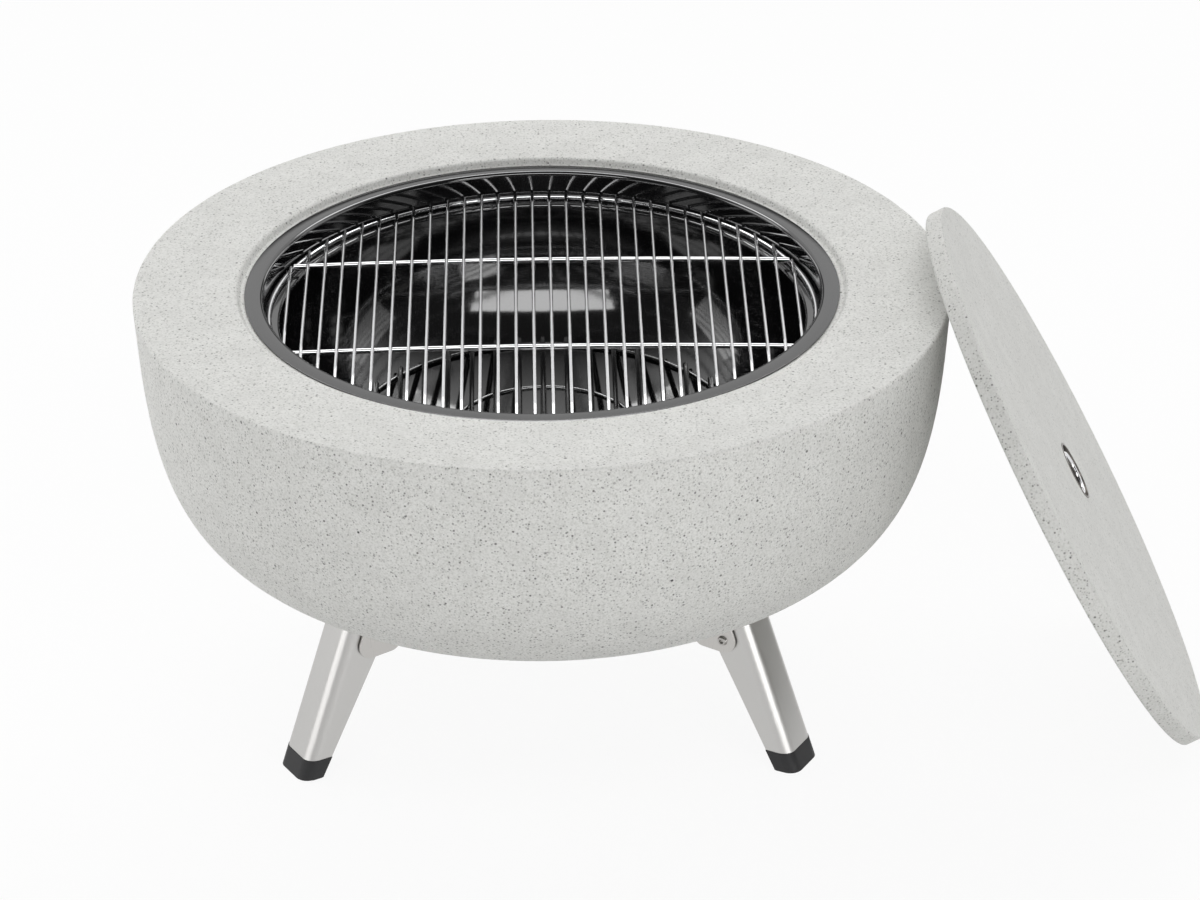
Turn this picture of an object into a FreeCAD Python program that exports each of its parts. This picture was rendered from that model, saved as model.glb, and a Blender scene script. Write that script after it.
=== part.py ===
import FreeCAD, Part
import math
import os

os.makedirs("parts", exist_ok=True)

Vector = FreeCAD.Vector
Z_AXIS = Vector(0, 0, 1)
Y_AXIS = Vector(0, 1, 0)

# All lengths are in millimetres and all angles in degrees.

# Stone bowl: a cast shell with a wide flat rim, a belly and a flat base.
RIM_RADIUS = 375.0
RIM_HEIGHT = 437.0
RIM_EDGE = 3.0
RIM_SLAB = 30.0
STONE_WALL = 24.0
WALL_DROP = 45.0
WALL_DRAFT = 3.0
BOWL_DEPTH = 259.0
BASE_INSET = 169.0
BASE_ROUND = 150.0
BELLY_ANGLE = 25.3
SHOULDER_PULL = 140.0
BELLY_PULL = 70.0
INNER_CORNER = 12.0

# Recess in the rim, which takes the flange of the fire bowl and the closed lid.
RIM_WIDTH = 94.5
RECESS_DEPTH = 6.5
RECESS_GAP = 4.0
RECESS_SLOPE = 3.5
RECESS_EDGE = 2.5
RECESS_COVE = 1.5
HOLE_GAP = 4.0
HOLE_EDGE = 2.0

# Fire bowl: a pressed steel dish with a flange and a step for the cooking grate.
FLANGE_WIDTH = 17.0
SHEET = 1.5
BEND = 4.0
STEP_DROP = 26.5
STEP_WIDTH = 15.0
STEP_LIP = 1.0
DISH_DEPTH = 172.0
DISH_SIDE_ROUND = 145.0

# Clearances: flat seats, wire on sheet, and the lid against the rim.
SEAT_GAP = 0.2
REST_GAP = 0.3
LEAN_GAP = 0.3
WELD = 0.4

# Cooking grate: two bowed cross rods on a ring, and rods over them with their ends cranked down to the ring.
GRATE_GAP = 2.0
GRATE_RING_WIRE = 5.0
GRATE_ROD_WIRE = 3.2
GRATE_ROD_PITCH = 16.2
GRATE_ROD_INSET = 10.0
GRATE_STUB = 1.5
CRANK_RUN = 36.0
CRANK_BEND = 40.0
CROSS_ROD_WIRE = 5.0
CROSS_ROD_OFFSET = 92.0
CROSS_ROD_INSET = 2.0
CROSS_ROD_RISE = 3.8
CROSS_ROD_BOW = 3.5

# Charcoal grate: a ring wedged in the dish, a smaller ring, and rods on both.
CHARCOAL_INSET = 62.0
CHARCOAL_RING_SPACE = 93.0
CHARCOAL_WIRE = 5.0
CHARCOAL_ROD_PITCH = 22.6
CHARCOAL_ROD_INSET = 10.0
CHARCOAL_STUB = 3.0

# Legs: tapered sheet channels, open towards the middle, which fold inwards.
LEG_NAMES = ("rear", "left", "right")
REAR_LEG_ANGLE = 90.0
LEG_WIDTH = 48.5
LEG_SHEET = 2.0
LEG_CORNER = 8.5
SPLAY_ANGLE = 20.1
LEG_EYE = 11.5
LEG_REACH = 29.5
FOOT_DEPTH = 21.0
CAP_HEIGHT = 20.0
CAP_PLUG = 18.0
CAP_PROUD = 0.4
CAP_CHAMFER = 1.2
PLUG_GAP = 0.1
STOP_GAP = 0.3

# Pivot: a bolt from one ear into a nut welded inside the other ear.
PIVOT_INSET = 3.0
PIVOT_DROP = 51.0
BOLT_RADIUS = 3.0
BOLT_HEAD_RADIUS = 5.0
BOLT_HEAD = 2.8
BOLT_SOCKET = 4.0
BOLT_SOCKET_DEPTH = 1.8
WELD_NUT_RADIUS = 5.5
WELD_NUT_REACH = 4.0
RUNNING_GAP = 0.05
BOLT_HOLE_GAP = 0.1
WASHER = 0.8
WASHER_GAP = 0.1
WASHER_RIM = 4.0

# Leg brackets: a plate under the base with two ears folded down.
BRACKET_SHEET = 2.5
EAR_ROUND = 12.8
EAR_REACH = 30.0
EAR_ANGLE = 4.0
EAR_CORNER = 10.0
EAR_BEND = 2.0
PLATE_INNER = 62.0
PLATE_OUTER = 8.0
PLATE_CORNER = 8.0

# Screws and inserts that hold the brackets.
SCREW_RADIUS = 3.0
SCREW_HEAD_RADIUS = 5.5
SCREW_HEAD = 3.5
SCREW_SOCKET = 4.0
SCREW_SOCKET_DEPTH = 2.2
SCREW_OFFSETS = (26.0, 50.0)
SCREW_LENGTH = 14.0
SCREW_HOLE_GAP = 0.3
INSERT_RADIUS = 4.5
INSERT_LENGTH = 14.0
INSERT_HOLE_SPARE = 2.0
THREAD_GAP = 0.05

# Lid: a round slab that stands on the floor and leans on the rim.
LID_GAP = 3.0
LID_THICKNESS = 17.0
LID_EDGE = 2.5
LEAN_ANGLE = 61.9
LID_SIDE_STEP = -30.0

# Pull: a cup let into the lid, with a ring on a hinge pin.
CUP_RADIUS = 27.5
CUP_DEPTH = 8.0
CUP_WALL = 1.2
CUP_LIP = 1.0
CUP_LIP_HEIGHT = 0.6
CUP_GAP = 0.1
RING_WIRE = 4.5
RING_GAP = 2.0
RING_DEPTH = 2.6
HINGE_GAP = 0.4
BARREL_RADIUS = 2.4
BARREL_LENGTH = 8.0
TAB_THICKNESS = 3.0
PIN_RADIUS = 1.25
LUG_WIDTH = 2.5
LUG_GAP = 0.2
CUP_SCREW_RADIUS = 2.0
CUP_SCREW_HEAD_RADIUS = 4.0
CUP_SCREW_LENGTH = 7.0
CUP_SCREW_SOCKET = 2.5
LID_INSERT_RADIUS = 3.5
LID_INSERT_LENGTH = 6.0

# Heights and radii that follow from the sizes above.
BASE_HEIGHT = RIM_HEIGHT - BOWL_DEPTH
BASE_RADIUS = RIM_RADIUS - BASE_INSET
RECESS_RADIUS = RIM_RADIUS - RIM_WIDTH
RECESS_FLOOR_RADIUS = RECESS_RADIUS - RECESS_SLOPE
SEAT_HEIGHT = RIM_HEIGHT - RECESS_DEPTH
FLANGE_UNDER = SEAT_HEIGHT + SEAT_GAP
FLANGE_TOP = FLANGE_UNDER + SHEET
FLANGE_RADIUS = RECESS_FLOOR_RADIUS - RECESS_GAP
MOUTH_RADIUS = FLANGE_RADIUS - FLANGE_WIDTH
STEP_TOP = FLANGE_TOP - STEP_DROP
DISH_RADIUS = MOUTH_RADIUS - STEP_WIDTH
DISH_START = STEP_TOP - BEND - STEP_LIP
HOLE_RADIUS = MOUTH_RADIUS + SHEET + HOLE_GAP
GRATE_RADIUS = MOUTH_RADIUS - GRATE_GAP - GRATE_RING_WIRE / 2
CHARCOAL_RADIUS = DISH_RADIUS - CHARCOAL_INSET
CHARCOAL_INNER_RADIUS = CHARCOAL_RADIUS - CHARCOAL_RING_SPACE
LID_RADIUS = RECESS_FLOOR_RADIUS - LID_GAP
PIVOT_RADIUS = BASE_RADIUS - PIVOT_INSET
PIVOT_HEIGHT = BASE_HEIGHT - PIVOT_DROP
PLATE_UNDER = BASE_HEIGHT - BRACKET_SHEET
LEG_TOP = PLATE_UNDER - STOP_GAP
LEG_STEP_ANGLE = 360 / len(LEG_NAMES)
LEG_ANGLES = {name: REAR_LEG_ANGLE + index * LEG_STEP_ANGLE for index, name in enumerate(LEG_NAMES)}
WASHER_SPACE = WASHER + 2 * WASHER_GAP
EAR_INNER = LEG_WIDTH / 2 + WASHER_SPACE
EAR_OUTER = EAR_INNER + BRACKET_SHEET
CUP_INSIDE = CUP_RADIUS - CUP_WALL
HINGE_OFFSET = CUP_INSIDE - HINGE_GAP - BARREL_RADIUS
RING_FREE_END = CUP_INSIDE - RING_GAP
RING_HINGE_END = HINGE_OFFSET - BARREL_RADIUS - LUG_GAP
RING_RADIUS = (RING_FREE_END + RING_HINGE_END - RING_WIRE) / 2
RING_SET_BACK = (RING_FREE_END - RING_HINGE_END) / 2


def sine(angle):
    return math.sin(math.radians(angle))


def cosine(angle):
    return math.cos(math.radians(angle))


def tangent(angle):
    return math.tan(math.radians(angle))


def point(out, up):
    """A point of the upright plane through the Z axis, given by its distance out and its height."""
    return Vector(out, 0, up)


def line(start, end):
    return Part.LineSegment(start, end).toShape()


def arc(start, middle, end):
    return Part.Arc(start, middle, end).toShape()


def arc_about(centre, radius, first_angle, last_angle):
    """An arc in the upright plane, with its angles counted from outwards to upwards."""
    def at(angle):
        return centre + point(radius * cosine(angle), radius * sine(angle))
    return arc(at(first_angle), at((first_angle + last_angle) / 2), at(last_angle))


def rounded_run(corners):
    """Edges of an open run of straight lines. Each corner is (point, radius); 0 leaves it sharp."""
    edges = []
    start = corners[0][0]
    for before, (corner, radius), after in zip(corners, corners[1:], corners[2:]):
        if radius == 0:
            edges.append(line(start, corner))
            start = corner
            continue
        back = (before[0] - corner).normalize()
        ahead = (after[0] - corner).normalize()
        half = back.getAngle(ahead) / 2
        reach = radius / math.tan(half)
        centre = corner + (back + ahead).normalize() * (radius / math.sin(half))
        middle = centre + (corner - centre).normalize() * radius
        edges.append(line(start, corner + back * reach))
        start = corner + ahead * reach
        edges.append(arc(corner + back * reach, middle, start))
    edges.append(line(start, corners[-1][0]))
    return edges


def rounded_face(corners):
    """A closed face with straight sides. The outline starts half way along its first side."""
    start = (corners[0][0] + corners[1][0]) * 0.5
    run = [(start, 0)] + corners[1:] + [corners[0], (start, 0)]
    return Part.Face(Part.Wire(rounded_run(run)))


def revolved(edges):
    return Part.Face(Part.Wire(edges)).revolve(Vector(), Z_AXIS, 360)


def across(face, low, high):
    """A solid made by pushing an upright face along Y, from low to high."""
    moved = face.copy()
    moved.translate(Vector(0, low, 0))
    return moved.extrude(Vector(0, high - low, 0))


def cylinder_between(start, end, radius):
    return Part.makeCylinder(radius, (end - start).Length, start, end - start)


def wire_ring(radius, wire, height):
    return Part.makeTorus(radius, wire / 2, Vector(0, 0, height), Z_AXIS)


def wire_along(edges, wire):
    """A round wire that follows a run of edges."""
    first = edges[0]
    start = first.FirstParameter
    section = Part.makeCircle(wire / 2, first.valueAt(start), first.tangentAt(start))
    return Part.Wire(edges).makePipeShell([Part.Wire(section)], True, True)


def hexagon_prism(start, direction, across_flats, depth):
    """A hexagonal socket, pushed from start along direction."""
    corner_radius = across_flats / math.sqrt(3)
    side = direction.cross(Z_AXIS)
    if side.Length == 0:
        side = Vector(1, 0, 0)
    side.normalize()
    other = direction.cross(side).normalize()
    corners = []
    for step in range(7):
        angle = 60 * step
        corners.append(start + side * (corner_radius * cosine(angle)) + other * (corner_radius * sine(angle)))
    return Part.Face(Part.makePolygon(corners)).extrude(direction * depth)


def edges_at(shape, places, reach=0.01):
    """The edges whose middles lie at the given places."""
    return [edge for edge in shape.Edges
            if any((edge.CenterOfMass - place).Length < reach for place in places)]


def turned(shape, azimuth):
    """A copy turned about the axis of the bowl, from the +X side to the given azimuth."""
    copy = shape.copy()
    copy.rotate(Vector(), Z_AXIS, azimuth)
    return copy


# The lid stands on the floor and leans on the rounded edge of the rim. A lid too short to reach over
# the rim leans on the wall under it, with the upper end of its own rounded edge.
LID_NORMAL = Vector(sine(LEAN_ANGLE), 0, cosine(LEAN_ANGLE))
LID_UPWARDS = Vector(-cosine(LEAN_ANGLE), 0, sine(LEAN_ANGLE))
LID_CORE = LID_RADIUS - LID_EDGE
LID_TIP = LID_UPWARDS * LID_CORE - LID_NORMAL * (LID_THICKNESS - LID_EDGE)
LID_CENTRE_Z = (LID_THICKNESS - LID_EDGE) * LID_NORMAL.z + LID_CORE * LID_UPWARDS.z + LID_EDGE
TIP_DROP = RIM_HEIGHT - (LID_CENTRE_Z + LID_TIP.z)
if TIP_DROP < RIM_EDGE:
    rim_round = Vector(RIM_RADIUS - RIM_EDGE, 0, RIM_HEIGHT - RIM_EDGE)
    lid_offset = LID_NORMAL.dot(rim_round) + RIM_EDGE + LEAN_GAP + LID_THICKNESS
    LID_CENTRE_X = (lid_offset - LID_CENTRE_Z * LID_NORMAL.z) / LID_NORMAL.x
else:
    wall_radius = RIM_RADIUS - WALL_DRAFT * TIP_DROP / WALL_DROP
    LID_CENTRE_X = wall_radius + LEAN_GAP + LID_EDGE - LID_TIP.x
LID_REACH = LID_CENTRE_X - LID_EDGE * LID_NORMAL.x - LID_CORE * LID_UPWARDS.x + LID_EDGE

# The origin is on the floor, under the middle of the bowl and the leaning lid together.
BOWL_SHIFT = Vector((RIM_RADIUS - LID_REACH) / 2, 0, 0)


def export(name, *solids):
    """Writes one node: its solids, moved from the bowl's axis to the origin of the whole part."""
    shape = solids[0].copy() if len(solids) == 1 else Part.makeCompound(list(solids))
    shape.translate(BOWL_SHIFT)
    shape.exportStep("parts/" + name + ".step")


def belly_curve(inset):
    """The curve from the wall of the stone bowl to its base, moved into the stone by inset."""
    shoulder = point(RIM_RADIUS - WALL_DRAFT - inset, RIM_HEIGHT - WALL_DROP)
    centre = point(BASE_RADIUS, BASE_HEIGHT + BASE_ROUND)
    end = centre + point(sine(BELLY_ANGLE), -cosine(BELLY_ANGLE)) * (BASE_ROUND - inset)
    down = point(-WALL_DRAFT, -WALL_DROP).normalize()
    ease = 1 - inset / RIM_RADIUS
    curve = Part.BezierCurve()
    curve.setPoles([
        shoulder,
        shoulder + down * SHOULDER_PULL * ease,
        end + point(cosine(BELLY_ANGLE), sine(BELLY_ANGLE)) * BELLY_PULL * ease,
        end,
    ])
    base_arc = arc_about(centre, BASE_ROUND - inset, BELLY_ANGLE - 90, -90)
    return shoulder, curve.toShape(), base_arc


def screw_places():
    """Where the bracket screws go into the base, for one leg on the +X side."""
    return [Vector(PIVOT_RADIUS - offset, 0, BASE_HEIGHT) for offset in SCREW_OFFSETS]


def make_stone_bowl():
    shoulder, belly, base_arc = belly_curve(0)
    inner_shoulder, inner_belly, inner_base_arc = belly_curve(STONE_WALL)
    ceiling = RIM_HEIGHT - RIM_SLAB
    rim = rounded_run([
        (shoulder, 0),
        (point(RIM_RADIUS, RIM_HEIGHT), RIM_EDGE),
        (point(RECESS_RADIUS, RIM_HEIGHT), RECESS_EDGE),
        (point(RECESS_FLOOR_RADIUS, SEAT_HEIGHT), RECESS_COVE),
        (point(HOLE_RADIUS, SEAT_HEIGHT), HOLE_EDGE),
        (point(HOLE_RADIUS, ceiling), HOLE_EDGE),
        (point(inner_shoulder.x, ceiling), INNER_CORNER),
        (inner_shoulder, 0),
    ])
    floor_height = BASE_HEIGHT + STONE_WALL
    floor = [
        line(point(BASE_RADIUS, floor_height), point(0, floor_height)),
        line(point(0, floor_height), point(0, BASE_HEIGHT)),
        line(point(0, BASE_HEIGHT), point(BASE_RADIUS, BASE_HEIGHT)),
    ]
    shell = revolved([base_arc, belly] + rim + [inner_belly, inner_base_arc] + floor)
    depth = INSERT_LENGTH + INSERT_HOLE_SPARE
    holes = [turned(Part.makeCylinder(INSERT_RADIUS, depth, place), azimuth)
             for place in screw_places() for azimuth in LEG_ANGLES.values()]
    return shell.cut(holes)


def make_bracket_insert(place):
    body = Part.makeCylinder(INSERT_RADIUS, INSERT_LENGTH, place)
    return body.cut(Part.makeCylinder(SCREW_RADIUS + THREAD_GAP, INSERT_LENGTH, place))


def make_bracket_screw(place):
    """A socket screw from below: head under the plate, thread up into the insert."""
    seat = Vector(place.x, place.y, PLATE_UNDER)
    bottom = seat - Z_AXIS * SCREW_HEAD
    head = Part.makeCylinder(SCREW_HEAD_RADIUS, SCREW_HEAD, bottom)
    shank = Part.makeCylinder(SCREW_RADIUS, SCREW_LENGTH, seat)
    socket = hexagon_prism(bottom, Z_AXIS, SCREW_SOCKET, SCREW_SOCKET_DEPTH)
    return head.fuse(shank).removeSplitter().cut(socket)


PIVOT = point(PIVOT_RADIUS, PIVOT_HEIGHT)


def make_leg_bracket():
    """A plate screwed to the base, with two ears that end in a round about the pivot bolt."""
    plate = Part.makeBox(PLATE_INNER + PLATE_OUTER, 2 * EAR_INNER, BRACKET_SHEET,
                         Vector(PIVOT_RADIUS - PLATE_INNER, -EAR_INNER, PLATE_UNDER))
    inner_end = PIVOT_RADIUS - PLATE_INNER
    plate_middle = PLATE_UNDER + BRACKET_SHEET / 2
    inner_corners = [Vector(inner_end, side * EAR_INNER, plate_middle) for side in (-1, 1)]
    plate = plate.makeFillet(PLATE_CORNER, edges_at(plate, inner_corners))
    front = PIVOT + point(cosine(SPLAY_ANGLE), sine(SPLAY_ANGLE)) * EAR_ROUND
    front_top = point(front.x - (BASE_HEIGHT - front.z) * tangent(SPLAY_ANGLE), BASE_HEIGHT)
    under = PIVOT + point(-sine(EAR_ANGLE), -cosine(EAR_ANGLE)) * EAR_ROUND
    heel_x = PIVOT_RADIUS - EAR_REACH
    heel = point(heel_x, under.z + (under.x - heel_x) * tangent(EAR_ANGLE))
    heel_top = point(heel_x, BASE_HEIGHT)
    nose = arc_about(PIVOT, EAR_ROUND, -90 - EAR_ANGLE, SPLAY_ANGLE)
    sides = rounded_run([(front, 0), (front_top, 0), (heel_top, 0), (heel, EAR_CORNER), (under, 0)])
    ear = Part.Face(Part.Wire([nose] + sides))
    bolt_ear = across(ear, -EAR_OUTER, -EAR_INNER)
    hole_radius = BOLT_RADIUS + BOLT_HOLE_GAP
    hole_start = PIVOT - Y_AXIS * EAR_OUTER
    bolt_ear = bolt_ear.cut(cylinder_between(hole_start, PIVOT, hole_radius))
    nut_ear = across(ear, EAR_INNER, EAR_OUTER)
    bracket = plate.fuse([bolt_ear, nut_ear]).removeSplitter()
    bend_middle = (front_top.x + heel_x) / 2
    bends = [Vector(bend_middle, side * EAR_OUTER, BASE_HEIGHT) for side in (-1, 1)]
    bracket = bracket.makeFillet(EAR_BEND, edges_at(bracket, bends))
    holes = [Part.makeCylinder(SCREW_RADIUS + SCREW_HOLE_GAP, BRACKET_SHEET, place - Z_AXIS * BRACKET_SHEET)
             for place in screw_places()]
    return bracket.cut(holes)


def make_pivot_bolt():
    """A button-head socket bolt: head on the outside of one ear, end inside the welded nut."""
    seat = PIVOT - Y_AXIS * EAR_OUTER
    end = PIVOT + Y_AXIS * (EAR_INNER - THREAD_GAP)
    top = seat - Y_AXIS * BOLT_HEAD
    head = Part.makeCone(BOLT_HEAD_RADIUS, BOLT_HEAD_RADIUS - BOLT_HEAD / 2, BOLT_HEAD, seat, Y_AXIS * -1)
    shank = cylinder_between(seat, end, BOLT_RADIUS)
    socket = hexagon_prism(top, Y_AXIS, BOLT_SOCKET, BOLT_SOCKET_DEPTH)
    return head.fuse(shank).cut(socket)


def make_weld_nut():
    """A round nut on the inside of the other ear. One wall of the leg turns on it."""
    outer = PIVOT + Y_AXIS * EAR_INNER
    inner = PIVOT + Y_AXIS * (LEG_WIDTH / 2 - LEG_SHEET - WELD_NUT_REACH)
    return cylinder_between(inner, outer, WELD_NUT_RADIUS).cut(
        cylinder_between(inner, outer, BOLT_RADIUS + THREAD_GAP))


def make_pivot_washers():
    """A thin washer between each wall of the leg and the ear beside it."""
    washers = []
    for side, bore in ((-1, BOLT_RADIUS), (1, WELD_NUT_RADIUS)):
        start = PIVOT + Y_AXIS * (side * (EAR_INNER - WASHER_GAP))
        end = start - Y_AXIS * (side * WASHER)
        ring = cylinder_between(start, end, bore + WASHER_RIM)
        washers.append(ring.cut(cylinder_between(start, end, bore + BOLT_HOLE_GAP)))
    return washers


FOOT_RADIUS = PIVOT_RADIUS + LEG_REACH + PIVOT_HEIGHT * tangent(SPLAY_ANGLE)


def leg_outer(height):
    """How far out the outer face of the leg is at a height."""
    return FOOT_RADIUS - height * tangent(SPLAY_ANGLE)


def leg_inner_angle():
    """The slope of the inner edge, which runs from the foot and just touches the round of the eye."""
    toe = point(FOOT_RADIUS - FOOT_DEPTH, 0)
    reach = PIVOT - toe
    lean = math.degrees(math.atan2(-reach.x, reach.z))
    return lean + math.degrees(math.asin(LEG_EYE / reach.Length))


def leg_inner(height):
    """How far out the inner edge of the leg is at a height."""
    return FOOT_RADIUS - FOOT_DEPTH - height * tangent(leg_inner_angle())


def slanted_block(low, high, width, inset, inner_low, inner_high, corner):
    """A block behind the outer face of the leg, with its two outer edges rounded."""
    back_off = inset / cosine(SPLAY_ANGLE)
    outer_low = point(leg_outer(low) - back_off, low)
    outer_high = point(leg_outer(high) - back_off, high)
    outline = Part.makePolygon([outer_low, outer_high, point(inner_high, high), point(inner_low, low), outer_low])
    block = across(Part.Face(outline), -width / 2, width / 2)
    middle = (outer_low + outer_high) * 0.5
    rounds = [middle + Y_AXIS * (side * width / 2) for side in (-1, 1)]
    return block.makeFillet(corner, edges_at(block, rounds))


def make_leg():
    """A sheet channel: web on the outside, two side walls with a round eye about the pivot."""
    slope = leg_inner_angle()
    touch = PIVOT + point(-cosine(slope), -sine(slope)) * LEG_EYE
    crown = point(PIVOT_RADIUS, LEG_TOP - LEG_EYE)
    back = PIVOT_RADIUS - LEG_EYE
    outline = [
        line(point(leg_outer(CAP_HEIGHT), CAP_HEIGHT), point(leg_outer(LEG_TOP), LEG_TOP)),
        line(point(leg_outer(LEG_TOP), LEG_TOP), point(PIVOT_RADIUS, LEG_TOP)),
        arc_about(crown, LEG_EYE, 90, 180),
        line(point(back, crown.z), point(back, PIVOT_HEIGHT)),
        arc_about(PIVOT, LEG_EYE, 180, 180 + slope),
        line(touch, point(leg_inner(CAP_HEIGHT), CAP_HEIGHT)),
        line(point(leg_inner(CAP_HEIGHT), CAP_HEIGHT), point(leg_outer(CAP_HEIGHT), CAP_HEIGHT)),
    ]
    half = LEG_WIDTH / 2
    solid = across(Part.Face(Part.Wire(outline)), -half, half)
    web_middle = (outline[0].Vertexes[0].Point + outline[0].Vertexes[1].Point) * 0.5
    rounds = [web_middle + Y_AXIS * (side * half) for side in (-1, 1)]
    solid = solid.makeFillet(LEG_CORNER, edges_at(solid, rounds))
    low = CAP_HEIGHT - LEG_SHEET
    high = LEG_TOP + LEG_SHEET
    clear = PIVOT_RADIUS - 2 * LEG_EYE
    hollow = slanted_block(low, high, LEG_WIDTH - 2 * LEG_SHEET, LEG_SHEET, clear, clear,
                           LEG_CORNER - LEG_SHEET)
    bolt_hole = cylinder_between(PIVOT - Y_AXIS * half, PIVOT, BOLT_RADIUS + RUNNING_GAP)
    nut_hole = cylinder_between(PIVOT, PIVOT + Y_AXIS * half, WELD_NUT_RADIUS + RUNNING_GAP)
    return solid.cut([hollow, bolt_hole, nut_hole])


def make_foot_cap():
    """A plastic shoe under the end of the leg, with a plug that goes up into the channel."""
    width = LEG_WIDTH + 2 * CAP_PROUD
    shoe = slanted_block(0, CAP_HEIGHT, width, -CAP_PROUD, leg_inner(0) - CAP_PROUD,
                         leg_inner(CAP_HEIGHT) - CAP_PROUD, LEG_CORNER + CAP_PROUD)
    sole = [edge for edge in shoe.Edges if edge.BoundBox.ZMax < CAP_CHAMFER]
    shoe = shoe.makeChamfer(CAP_CHAMFER, sole)
    top = CAP_HEIGHT + CAP_PLUG
    plug = slanted_block(CAP_HEIGHT - CAP_CHAMFER, top, LEG_WIDTH - 2 * (LEG_SHEET + PLUG_GAP),
                         LEG_SHEET + PLUG_GAP, leg_inner(CAP_HEIGHT - CAP_CHAMFER), leg_inner(top),
                         LEG_CORNER - LEG_SHEET - PLUG_GAP)
    return shoe.fuse(plug).removeSplitter()


def make_fire_bowl():
    """A spun dish: flange in the recess, short wall, step for the grate, and a round bottom."""
    side_centre = point(DISH_RADIUS - DISH_SIDE_ROUND, DISH_START)
    floor_height = DISH_START - DISH_DEPTH
    run_in = DISH_RADIUS - DISH_SIDE_ROUND
    crown_radius = (run_in ** 2 + DISH_DEPTH ** 2 - DISH_SIDE_ROUND ** 2) / (2 * (DISH_DEPTH - DISH_SIDE_ROUND))
    crown_centre = point(0, floor_height + crown_radius)
    meet = side_centre - crown_centre
    meet_angle = math.degrees(math.atan2(meet.z, meet.x))

    def dish(offset):
        side = arc_about(side_centre, DISH_SIDE_ROUND + offset, 0, meet_angle)
        crown = arc_about(crown_centre, crown_radius + offset, meet_angle, -90)
        return [side, crown]

    tight = BEND - SHEET
    upper = rounded_run([
        (point(FLANGE_RADIUS, FLANGE_TOP), 0),
        (point(MOUTH_RADIUS, FLANGE_TOP), BEND),
        (point(MOUTH_RADIUS, STEP_TOP), tight),
        (point(DISH_RADIUS, STEP_TOP), BEND),
        (point(DISH_RADIUS, DISH_START), 0),
    ])
    under = rounded_run([
        (point(FLANGE_RADIUS, FLANGE_UNDER), 0),
        (point(MOUTH_RADIUS + SHEET, FLANGE_UNDER), tight),
        (point(MOUTH_RADIUS + SHEET, STEP_TOP - SHEET), BEND),
        (point(DISH_RADIUS + SHEET, STEP_TOP - SHEET), tight),
        (point(DISH_RADIUS + SHEET, DISH_START), 0),
    ])
    axis_line = line(point(0, floor_height), point(0, floor_height - SHEET))
    rim_line = line(point(FLANGE_RADIUS, FLANGE_UNDER), point(FLANGE_RADIUS, FLANGE_TOP))
    below = under + dish(SHEET)
    return revolved(upper + dish(0) + [axis_line] + below[::-1] + [rim_line])


def parallel_rods(count, pitch, end_radius, wire, height):
    """Straight rods from front to back, side by side about the middle, that end on a circle."""
    rods = []
    for index in range(count):
        x = (index - (count - 1) / 2) * pitch
        half = math.sqrt(end_radius ** 2 - x ** 2)
        rods.append(cylinder_between(Vector(x, -half, height), Vector(x, half, height), wire / 2))
    return rods


def make_cooking_grate():
    ring_height = STEP_TOP + REST_GAP + GRATE_RING_WIRE / 2
    ring = wire_ring(GRATE_RADIUS, GRATE_RING_WIRE, ring_height)
    half = math.sqrt(GRATE_RADIUS ** 2 - CROSS_ROD_OFFSET ** 2) - CROSS_ROD_INSET

    def cross_height(x):
        return ring_height + CROSS_ROD_RISE + CROSS_ROD_BOW * (1 - (x / half) ** 2)

    bow = arc(point(-half, cross_height(half)), point(0, cross_height(0)), point(half, cross_height(half)))
    cross_rods = []
    for y in (-CROSS_ROD_OFFSET, CROSS_ROD_OFFSET):
        cross_rods.append(wire_along([bow], CROSS_ROD_WIRE).translated(Y_AXIS * y))

    low = ring_height + (GRATE_RING_WIRE + GRATE_ROD_WIRE) / 2 - WELD
    on_cross_rod = (CROSS_ROD_WIRE + GRATE_ROD_WIRE) / 2 - WELD
    count = 2 * round((GRATE_RADIUS - GRATE_ROD_INSET) / GRATE_ROD_PITCH)
    rods = []
    for index in range(count):
        x = (index - (count - 1) / 2) * GRATE_ROD_PITCH
        crossing = math.sqrt(GRATE_RADIUS ** 2 - x ** 2)
        high = cross_height(x) + on_cross_rod
        end_height = low - GRATE_STUB * (high - low) / CRANK_RUN
        end = crossing + GRATE_STUB
        bend = crossing - CRANK_RUN
        path = rounded_run([(point(-end, end_height), 0), (point(-bend, high), CRANK_BEND),
                            (point(bend, high), CRANK_BEND), (point(end, end_height), 0)])
        rods.append(turned(wire_along(path, GRATE_ROD_WIRE), 90).translated(Vector(x, 0, 0)))
    return ring, rods, cross_rods


def make_charcoal_grate():
    reach = DISH_SIDE_ROUND - CHARCOAL_WIRE / 2 - REST_GAP
    out = CHARCOAL_RADIUS - (DISH_RADIUS - DISH_SIDE_ROUND)
    ring_height = DISH_START - math.sqrt(reach ** 2 - out ** 2)
    rod_height = ring_height + CHARCOAL_WIRE - WELD
    ring = wire_ring(CHARCOAL_RADIUS, CHARCOAL_WIRE, ring_height)
    inner_ring = wire_ring(CHARCOAL_INNER_RADIUS, CHARCOAL_WIRE, ring_height)
    count = 2 * int((CHARCOAL_RADIUS - CHARCOAL_ROD_INSET) / CHARCOAL_ROD_PITCH) + 1
    rods = parallel_rods(count, CHARCOAL_ROD_PITCH, CHARCOAL_RADIUS + CHARCOAL_STUB, CHARCOAL_WIRE, rod_height)
    return ring, inner_ring, rods


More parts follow.
